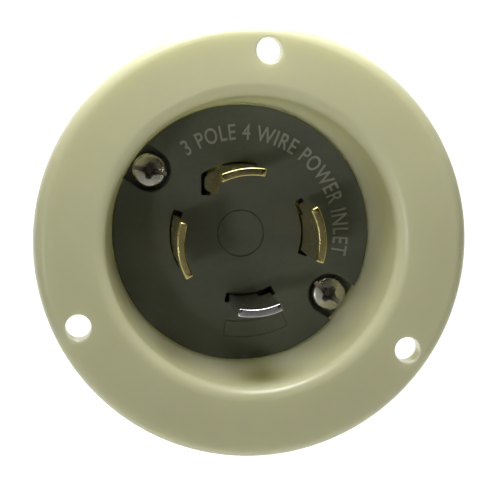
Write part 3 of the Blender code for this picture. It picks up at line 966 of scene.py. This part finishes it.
@dataclass
class PanScrew:
    """A pan head screw with its head's underside at height 0 and its thread downwards."""

    head_r: float
    head_h: float
    shank_r: float
    length: float
    drive: Drive
    pitch: float = 25.4 / 32 * MM
    slot_w: float = 0.9 * MM
    slot_depth: float = 1.2 * MM
    crown_drop: float = 0.16
    cross_share: float = 0.50
    cross_half_w: float = 0.50 * MM
    cross_waist: float = 0.86 * MM
    # depth below the dome at which the painted shade and oily dirt are full
    grime_and_shade_depth: float = 0.6 * MM

    def crown(self, r: Union[float, Array]) -> Union[float, Array]:
        """Height of the head at radius r: a shallow dome that drops to a rounded edge."""
        return self.head_h * (1 - self.crown_drop * (r / self.head_r) ** 2)

    def head(self) -> bpy.types.Object:
        """The head, spun from its dome, rounded shoulder and flat underside."""
        edge = 0.85 * MM
        dome_r = np.linspace(0.25 * MM, self.head_r - edge, 6)
        cosine, sine = quarter(7, 75.0, 0.0)
        shoulder_r, shoulder_h = self.head_r - edge, self.crown(self.head_r - edge) - edge
        rounded = zip(shoulder_r + edge * cosine, shoulder_h + edge * sine)
        foot = [(self.head_r, 0.18 * MM), (self.head_r - 0.18 * MM, 0.0), (self.shank_r * 0.6, 0.0)]
        return mesh_of("head", spun([*zip(dome_r, self.crown(dome_r)), *rounded, *foot], 64))

    def recess(self) -> list[bpy.types.Object]:
        """The cutters of the slot, and of the cross if there is one: tapered bars."""
        top, bottom = self.head_h + 0.5 * MM, self.head_h - self.slot_depth
        reach = self.head_r * 1.3
        bar = oblong((-reach, reach), (-self.slot_w / 2, self.slot_w / 2))
        flare = 0.10 * MM
        levels = [(-0.05 * MM, bottom), (0, bottom + 0.1 * MM), (0, self.head_h * 0.9 - flare),
                  (flare * 2, top)]
        tools = [mesh_of("slot", stacked(bar, levels))]
        if self.drive is Drive.SLOT_AND_CROSS:
            arm, half, waist = self.head_r * self.cross_share, self.cross_half_w, self.cross_waist
            cross = np.array([
                [arm, -half], [arm, half], [waist, waist], [half, arm], [-half, arm], [-waist, waist],
                [-arm, half], [-arm, -half], [-waist, -waist], [-half, -arm], [half, -arm], [waist, -waist],
            ])
            deep = self.head_h - self.slot_depth * 1.4
            small = np.column_stack([cross * 0.45, np.full(12, deep)])
            wide = np.column_stack([cross, np.full(12, self.head_h * 0.93)])
            over = np.column_stack([cross * 1.05, np.full(12, top)])
            tools.append(mesh_of("cross", np.stack([small, wide, over])))
        return tools

    def build(self, turn: float) -> bpy.types.Object:
        """The whole screw, its drive turned by `turn` degrees."""
        head = carved(self.head(), self.recess())
        mesh_turned(head, turn)
        shank = mesh_of("shank", threaded(self.shank_r, 0.32 * MM, self.pitch, -self.length, 0.3 * MM))
        return self.deepened(joined("screw", [head, shank]))

    def deepened(self, screw: bpy.types.Object) -> bpy.types.Object:
        """Writes how deep each point of the drive recess lies, for painted shade with oily dirt: 0 at the
        dome, 1 from grime_and_shade_depth below.
        """
        points = np.empty(len(screw.data.vertices) * 3)
        screw.data.vertices.foreach_get("co", points)
        x, y, z = points.reshape(-1, 3).T
        r = np.hypot(x, y)
        inside = (r < self.head_r - 0.3 * MM) & (z > self.head_h * 0.1)
        depth = np.where(inside, np.clip((self.crown(r) - z) / self.grime_and_shade_depth, 0.0, 1.0), 0.0)
        screw.data.attributes.new(RECESS_GRIME_AND_SHADE, "FLOAT", "POINT").data.foreach_set("value", depth)
        return screw


@dataclass
class AssemblyHardware:
    """The two long screws through the stack, and their nuts."""

    stack: Stack
    finish: bpy.types.Material
    places: tuple[tuple[str, float, float], ...] = (("upper", 150.0, -8.0), ("lower", 330.0, -35.0))
    head_r: float = 3.55 * MM
    head_h: float = 2.4 * MM
    shank_r: float = 2.08 * MM
    gap: float = 0.3 * MM
    nut_flats: float = 7.0 * MM
    nut_t: float = 3.2 * MM
    nut_bore_r: float = 2.3 * MM

    def nut(self, angle: float) -> bpy.types.Object:
        """A hexagon nut whose corners are turned down by a shallow cone at both faces."""
        s = self.stack
        corner_r = self.nut_flats / 2 / math.cos(math.radians(30))
        low = s.nut[0]
        hexagon = mesh_of("hexagon", stacked(circle(corner_r, 6), [(0, low), (0, low + self.nut_t)]))
        drop = (corner_r - self.nut_flats / 2) * math.tan(math.radians(30)) * 1.3
        turned = mesh_of("turned", spun([
            (self.nut_flats / 2, low), (corner_r + 0.02 * MM, low + drop),
            (corner_r + 0.02 * MM, low + self.nut_t - drop), (self.nut_flats / 2, low + self.nut_t),
        ], 64))
        body = carved(hexagon, [turned], "INTERSECT")
        hole = mesh_of("bore", spun([
            (self.nut_bore_r + 1.3 * MM, low - MM), (self.nut_bore_r, low + 0.3 * MM),
            (self.nut_bore_r, low + self.nut_t + MM),
        ], 40))
        return shifted(mesh_turned(carved(body, [hole]), angle), polar(SCREW_CIRCLE_R, angle))

    def build(self) -> None:
        """Makes both screws and both nuts."""
        seat = self.stack.face - SCREW_NOTCH_DEPTH + self.gap
        length = seat - self.stack.nut[0]
        for name, angle, turn in self.places:
            screw = PanScrew(self.head_r, self.head_h, self.shank_r, length, Drive.SLOT_AND_CROSS)
            body = shifted(screw.build(turn), polar(SCREW_CIRCLE_R, angle, seat))
            as_piece(body, f"long_screw_{name}", self.finish, MAIN_BODY, [f"assembly_screw_{name}"])
            as_piece(self.nut(angle), f"hex_nut_{name}", self.finish, MAIN_BODY,
                     [f"assembly_nut_{name}"])


@dataclass
class Terminal:
    """One terminal's moving pieces: the radial screw and the clamp plate that it draws out."""

    plan: BladePlan
    screw_finish: bpy.types.Material
    clamp_finish: bpy.types.Material
    screw_slot: str
    clamp_slot: str
    seat_v: float = 20.9 * MM
    shank_end_v: float = 11.2 * MM
    head_r: float = 3.5 * MM
    head_h: float = 2.6 * MM
    shank_r: float = 2.08 * MM
    clamp_v: float = 14.0 * MM
    clamp_t: float = 2.0 * MM
    clamp_half_w: float = 6.0 * MM
    clamp_half_l: float = 5.0 * MM
    lip_h: float = 1.2 * MM
    bore_r: float = 2.40 * MM
    ribs: int = 6

    def on_spoke(self, obj: bpy.types.Object, u: float, v: float) -> None:
        """Lays an object along this terminal's spoke, at the screw's height."""
        moved(obj, lambda points: radial(points, self.plan.angle, TERMINAL_SCREW_Z, u, v))

    def screw(self) -> None:
        """The terminal screw, laid along its spoke."""
        length = self.seat_v - self.shank_end_v
        body = PanScrew(self.head_r, self.head_h, self.shank_r, length, Drive.SLOT).build(0.0)
        self.on_spoke(body, TERMINAL_SCREW_U, self.seat_v)
        name = self.plan.name
        as_piece(body, f"{name}_wire_screw", self.screw_finish, f"{name}_screw",
                 [f"{name}_terminal_screw"])

    def clamp(self) -> None:
        """The clamp plate: rounded corners, a lip at the wire's side, gripping ribs, a bore."""
        w, length, t = self.clamp_half_w, self.clamp_half_l, self.clamp_t
        outline = softened(oblong((-w, w), (-length, length)), 0.7 * MM, 6)
        ease = 0.12 * MM
        body = mesh_of("plate", stacked(outline, [(-ease, -t), (0, ease - t), (0, -ease), (-ease, 0.0)]))
        short = length - 0.6 * MM
        lip_outline = softened(oblong((w - MM, w - 0.05 * MM), (-short, short)), 0.3 * MM, 4)
        lip_levels = [(0, -t + ease), (0, self.lip_h - ease), (-ease, self.lip_h)]
        body = carved(body, [mesh_of("lip", stacked(lip_outline, lip_levels))], "UNION")
        tools = [bore(self.bore_r, -t - MM, MM, np.array([TERMINAL_SCREW_U, 0.0, 0.0]))]
        for centre in np.linspace(-length + 1.2 * MM, length - 1.2 * MM, self.ribs):
            half = 0.22 * MM
            rib = oblong((0.4 * MM, w - 1.2 * MM), (centre - half, centre + half))
            tools.append(mesh_of("rib", stacked(rib, [(-half * 0.8, -0.22 * MM), (0, 0.3 * MM)])))
        body = carved(body, tools)
        self.on_spoke(body, 0.0, self.clamp_v)
        name = self.plan.name
        as_piece(body, f"{name}_wire_clamp", self.clamp_finish, f"{name}_clamp",
                 [f"{name}_clamp_plate"], 24.0)


@dataclass
class RearBody:
    """The terminal block and the rear cover."""

    stack: Stack
    finish: bpy.types.Material
    pocket_half_w: float = 6.4 * MM
    pocket_inner_v: float = 10.4 * MM
    groove_every: float = 2.2 * MM
    groove_depth: float = 0.3 * MM
    wire_u: float = -2.3 * MM
    wire_v: float = 16.5 * MM
    wire_r: float = 3.2 * MM
    mouth_r: float = 4.0 * MM
    mouth_depth: float = 1.0 * MM
    chamfer: float = 1.0 * MM
    ring_r: tuple[float, float] = (5.2 * MM, 6.0 * MM)
    ring_depth: float = 0.35 * MM

    def box(self, u: tuple[float, float], v: tuple[float, float], z: tuple[float, float],
            angle: float) -> bpy.types.Object:
        """A rectangular cutter with rounded upright edges, at a spoke."""
        rings = stacked(softened(oblong(u, v), 0.5 * MM, 4), [(0, z[0]), (0, z[1])])
        return mesh_turned(mesh_of("box", rings), angle - 90)

    def screw_holes(self, low: float, high: float) -> list[bpy.types.Object]:
        """The cutters of the assembly screws' holes through a part between two heights."""
        places = [polar(SCREW_CIRCLE_R, angle) for angle in SCREW_ANGLES]
        return [bore(SCREW_HOLE_R, low - MM, high + MM, place) for place in places]

    def block(self) -> None:
        """The terminal block with its open pockets and a few turned grip grooves."""
        low, high = self.stack.block
        ease = 0.4 * MM
        r = self.stack.body_r
        middle = (low + high) / 2 + np.arange(-2, 3) * self.groove_every
        offsets, dips = np.array([-0.45, -0.2, 0.2, 0.45]) * MM, np.array([0, 1, 1, 0]) * self.groove_depth
        grooves = [(r - dip, z + offset) for z in middle for offset, dip in zip(offsets, dips)]
        body = mesh_of("block", spun([(r - ease, low), (r, low + ease), *grooves, (r, high - ease),
                                      (r - ease, high)], 200))
        pocket_u, pocket_v = (-self.pocket_half_w, self.pocket_half_w), (self.pocket_inner_v, r + 2 * MM)
        tools = [self.box(pocket_u, pocket_v, (low - MM, high + MM), plan.angle) for plan in PLANS]
        tools += self.screw_holes(low, high)
        as_piece(carved(body, tools), "terminal_body", self.finish, MAIN_BODY, ["terminal_block"])

    def wire_entry(self, plan: BladePlan) -> bpy.types.Object:
        """The cutter of a wire hole with a rounded funnel on the outside."""
        low, high = self.stack.cover
        cosine, sine = quarter(7)
        flare = self.mouth_r - self.wire_r
        mouth = zip(self.wire_r + flare * (1 - cosine), low + self.mouth_depth * (1 - sine))
        profile = [(self.wire_r, high + MM), *mouth, (self.mouth_r, low - MM)]
        place = turn_points(np.array([self.wire_v, self.wire_u, 0.0]), plan.angle)
        return shifted(mesh_of("entry", spun(profile, 48)), place)

    def cover(self) -> None:
        """The rear cover with wire entries and a moulded ring line."""
        low, high = self.stack.cover
        r, ease = self.stack.body_r, 0.4 * MM
        cosine, sine = quarter(6)
        edge = zip(r + self.chamfer * (cosine - 1), low + self.chamfer * (1 - sine))
        body = mesh_of("cover", spun([(r - ease, high), (r, high - ease), *edge], 200))
        tools = [self.wire_entry(plan) for plan in PLANS] + self.screw_holes(low, high)
        (inner, outer), floor = self.ring_r, low + self.ring_depth
        ring = spun([(inner, low - MM), (inner, floor), (outer, floor), (outer, low - MM)], 96)
        tools.append(mesh_of("ring", ring, wrap=True))
        as_piece(carved(body, tools), "back_plate", self.finish, MAIN_BODY, ["rear_cover"])


# ---------------------------------------------------------------- studio

@dataclass
class Studio:
    """Camera, soft lights and a pale sweep that is floor and background in one."""

    camera_place: tuple[float, float, float] = (-0.03204, -0.27856, 0.02316)
    yaw: float = -0.1147
    pitch: float = -0.0883
    roll: float = 0.0848
    lens: float = 104.99
    floor_z: float = -0.120
    floor_front: float = -1.6
    wall_y: float = 0.9
    world_light: float = 0.02
    world_seen: float = 0.95
    floor_light: Colour = (0.05, 0.05, 0.05)
    floor_seen: float = 0.86
    beam_softness: float = 0.04

    def camera(self) -> None:
        """A level look along +Y, turned by yaw and pitch, then rolled about its own axis."""
        data = bpy.data.cameras.new("camera")
        data.lens = self.lens
        data.sensor_width = 36.0
        data.clip_start = 0.005
        obj = bpy.data.objects.new("camera", data)
        bpy.context.scene.collection.objects.link(obj)
        turn = (Matrix.Rotation(self.yaw, 4, "Z") @ Matrix.Rotation(self.pitch + math.pi / 2, 4, "X")
                @ Matrix.Rotation(self.roll, 4, "Z"))
        obj.matrix_world = Matrix.Translation(self.camera_place) @ turn
        bpy.context.scene.camera = obj

    def sweep(self) -> None:
        """The floor, which curves up into a wall behind: a quarter circle between two planes.

        It glows white behind the inlet. In front it is pale to the camera but gives the inlet little light.
        """
        bend = 0.4
        t = np.linspace(0.0, np.pi / 2, 24)
        y = np.concatenate([[self.floor_front], self.wall_y - bend + bend * np.sin(t), [self.wall_y]])
        z = np.concatenate([[0.0], bend - bend * np.cos(t), [1.8]]) + self.floor_z
        x = np.array([-2.0, 2.0])
        points = np.stack([
            np.broadcast_to(x[None, :], (len(y), 2)), np.broadcast_to(y[:, None], (len(y), 2)),
            np.broadcast_to(z[:, None], (len(y), 2)),
        ], axis=-1).reshape(-1, 3)
        row = np.arange(len(y) - 1) * 2
        faces = np.stack([row, row + 1, row + 3, row + 2], axis=-1)
        mesh = bpy.data.meshes.new("sweep")
        mesh.from_pydata(points, [], faces.tolist())
        mesh.shade_smooth()
        sheet = Sheet("sweep_paper")
        fibre = sheet.noise(60.0, 4.0, 0.6)
        sheet.feed("Base Color", sheet.mix(fibre, (0.93, 0.93, 0.93), (0.97, 0.97, 0.97)))
        sheet.feed("Roughness", 0.9)
        away = sheet.band(sheet.axes(sheet.place())[1], 0.0, 0.22)
        seen = sheet.add("LightPath", {}, {}, "Is Camera Ray")
        glow = sheet.math("MAXIMUM", away, seen * self.floor_seen)
        sheet.feed("Emission Color", sheet.mix(glow, self.floor_light, (1.0, 1.0, 1.0)))
        sheet.feed("Emission Strength", 0.95)
        mesh.materials.append(sheet.material)
        obj = bpy.data.objects.new("sweep", mesh)
        bpy.context.scene.collection.objects.link(obj)

    def light(self, name: str, place: tuple, aim: tuple, size: float, power: float, colour: Colour) -> None:
        """A square soft light at `place` that faces `aim`."""
        data = bpy.data.lights.new(name, "AREA")
        data.size = size
        data.energy = power
        data.color = colour
        obj = bpy.data.objects.new(name, data)
        bpy.context.scene.collection.objects.link(obj)
        obj.location = place
        obj.rotation_euler = (Vector(aim) - Vector(place)).to_track_quat("-Z", "Y").to_euler()

    def beam(self, name: str, place: tuple, aim: tuple, cone: float, power: float) -> None:
        """A soft-edged spot at `place` whose cone, in degrees, faces `aim`."""
        data = bpy.data.lights.new(name, "SPOT")
        data.spot_size = math.radians(cone)
        data.spot_blend = 1.0
        data.shadow_soft_size = self.beam_softness
        data.energy = power
        obj = bpy.data.objects.new(name, data)
        bpy.context.scene.collection.objects.link(obj)
        obj.location = place
        obj.rotation_euler = (Vector(aim) - Vector(place)).to_track_quat("-Z", "Y").to_euler()

    def build(self) -> None:
        """Sets the scene."""
        self.camera()
        self.sweep()
        middle = (0.0, 0.01, 0.0)
        self.light("above", (-0.025, -0.038, 0.165), middle, 0.10, 0.34, (1.0, 1.0, 0.98))
        self.light("behind", (-0.02, 0.20, 0.32), middle, 0.30, 0.22, (0.88, 0.98, 1.0))
        self.beam("well", (-0.15, -0.34, -0.06), (0.012, 0.010, 0.016), 8.5, 2.4)
        world = bpy.data.worlds.new("studio")
        bpy.context.scene.world = world
        world.use_nodes = True
        background = world.node_tree.nodes["Background"]
        background.inputs["Color"].default_value = (1.0, 1.0, 1.0, 1.0)
        seen = world.node_tree.nodes.new("ShaderNodeLightPath")
        strength = world.node_tree.nodes.new("ShaderNodeMapRange")
        strength.inputs["To Min"].default_value = self.world_light
        strength.inputs["To Max"].default_value = self.world_seen
        world.node_tree.links.new(seen.outputs["Is Camera Ray"], strength.inputs["Value"])
        world.node_tree.links.new(strength.outputs["Result"], background.inputs["Strength"])
        bpy.context.scene.view_settings.view_transform = "Standard"


def main() -> None:
    """Builds every sub-assembly, then the studio."""
    logging.basicConfig(level=logging.INFO, format="%(message)s")
    stack = Stack.from_frame()
    nylon = MilkyNylon("milky_nylon").build()
    grey, letters, black = (kind.build() for kind in (GREY_NYLON, LETTER_NYLON, BLACK_NYLON))
    metals = {metal: WorkedMetal(metal.name.lower() + "_metal", metal).build() for metal in Metal}
    FlangeHousing(stack, nylon).build()
    BladeInsert(stack, grey, letters).build()
    for plan in PLANS:
        silver = plan.name == "neutral"
        metal = metals[Metal.NICKEL if silver else Metal.BRASS]
        Blade(stack, plan, metal, "blade_nickel" if silver else "blade_brass").build()
        screw_metal = metals[Metal.GREEN] if plan.name == "ground" else metal
        screw_slot = {"ground": "green_steel", "neutral": "screw_nickel"}.get(plan.name, "screw_brass")
        clamp_slot = "clamp_nickel" if silver else "clamp_brass"
        terminal = Terminal(plan, screw_metal, metal, screw_slot, clamp_slot)
        terminal.screw()
        terminal.clamp()
    AssemblyHardware(stack, metals[Metal.ZINC]).build()
    rear = RearBody(stack, black)
    rear.block()
    rear.cover()
    Studio().build()


if __name__ == "__main__":
    main()
